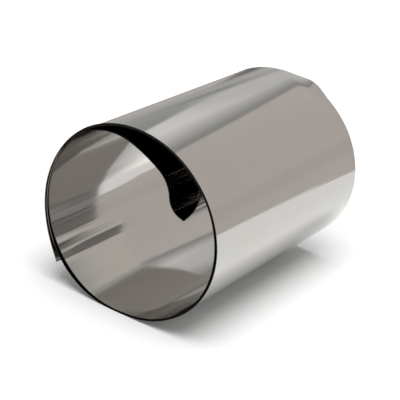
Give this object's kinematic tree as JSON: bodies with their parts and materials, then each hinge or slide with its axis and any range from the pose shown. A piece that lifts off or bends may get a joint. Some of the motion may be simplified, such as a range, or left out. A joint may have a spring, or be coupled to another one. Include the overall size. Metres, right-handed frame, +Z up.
{
  "type": "roll of metal strip",
  "caption": "Thin bright metal strip wound into an open roll lying on its side, with its inner end bent into the hollow middle and creased back to the turns.",
  "frame": {"origin": "centre of the bounding box's base, on the surface that the roll lies on", "axes": "+Y along the roll's axis, away from the end that shows the bent inner end on the right; +Z up; +X to the right seen from that end"},
  "size_m": [0.1164, 0.15, 0.1099],
  "materials": {
    "nickel_alloy": "bright-rolled mirror"
  },
  "bodies": {
    "root": {"strip": "nickel_alloy"}
  },
  "joints": []
}
